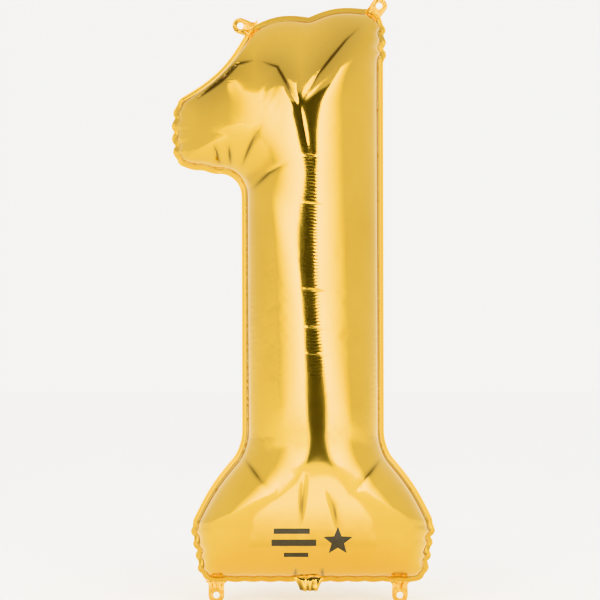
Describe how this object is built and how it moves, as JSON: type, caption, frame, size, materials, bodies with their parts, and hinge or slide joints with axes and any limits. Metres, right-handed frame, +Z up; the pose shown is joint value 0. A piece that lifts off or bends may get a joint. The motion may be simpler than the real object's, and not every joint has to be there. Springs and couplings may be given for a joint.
{
  "type": "foil number balloon",
  "caption": "Inflated gold foil balloon in the shape of the numeral one, with hanging tabs, a self-sealing valve and a folded filling tail.",
  "frame": {"origin": "under the middle of the outline, level with the tips of the lower tabs, in the weld plane", "axes": "+X to the right as the numeral is read, +Y to the back, +Z up along the stem"},
  "size_m": [0.367, 0.188, 0.8565],
  "materials": {
    "gold_film": "mirror-like metallised film",
    "tab_film": "crinkled metallised film",
    "valve_film": "clear thin film"
  },
  "bodies": {
    "envelope": {"front_film": "gold_film", "rear_film": "gold_film", "valve_front_film": "valve_film", "valve_rear_film": "valve_film"},
    "filling_tail": {"tail_inner_film": "gold_film", "tail_outer_film": "gold_film"},
    "hang_tab_upper_left": {"hang_tab_upper_left": "tab_film"},
    "hang_tab_upper_right": {"hang_tab_upper_right": "tab_film"},
    "hang_tab_lower_left": {"hang_tab_lower_left": "tab_film"},
    "hang_tab_lower_right": {"hang_tab_lower_right": "tab_film"}
  },
  "joints": [
    {"name": "hang_tab_upper_left_crease", "type": "hinge", "parent": "envelope", "child": "hang_tab_upper_left", "pos_m": [-0.07411, 0, 0.81224], "axis": [0.3568, 0, 0.9342], "range_deg": [-85, 85], "stiffness_Nm_per_rad": 0.0002},
    {"name": "hang_tab_upper_right_crease", "type": "hinge", "parent": "envelope", "child": "hang_tab_upper_right", "pos_m": [0.10076, 0, 0.83404], "axis": [0.8098, 0, -0.5867], "range_deg": [-85, 85], "stiffness_Nm_per_rad": 0.0002},
    {"name": "hang_tab_lower_left_crease", "type": "hinge", "parent": "envelope", "child": "hang_tab_lower_left", "pos_m": [-0.1215, 0, 0.0252], "axis": [-1, 0, 0], "range_deg": [-85, 85], "stiffness_Nm_per_rad": 0.0002},
    {"name": "hang_tab_lower_right_crease", "type": "hinge", "parent": "envelope", "child": "hang_tab_lower_right", "pos_m": [0.1385, 0, 0.0252], "axis": [-1, 0, 0], "range_deg": [-85, 85], "stiffness_Nm_per_rad": 0.0002},
    {"name": "filling_tail_fold", "type": "hinge", "parent": "envelope", "child": "filling_tail", "pos_m": [0.0095, 0, 0.019], "axis": [-1, 0, 0], "range_deg": [0, 180]}
  ]
}
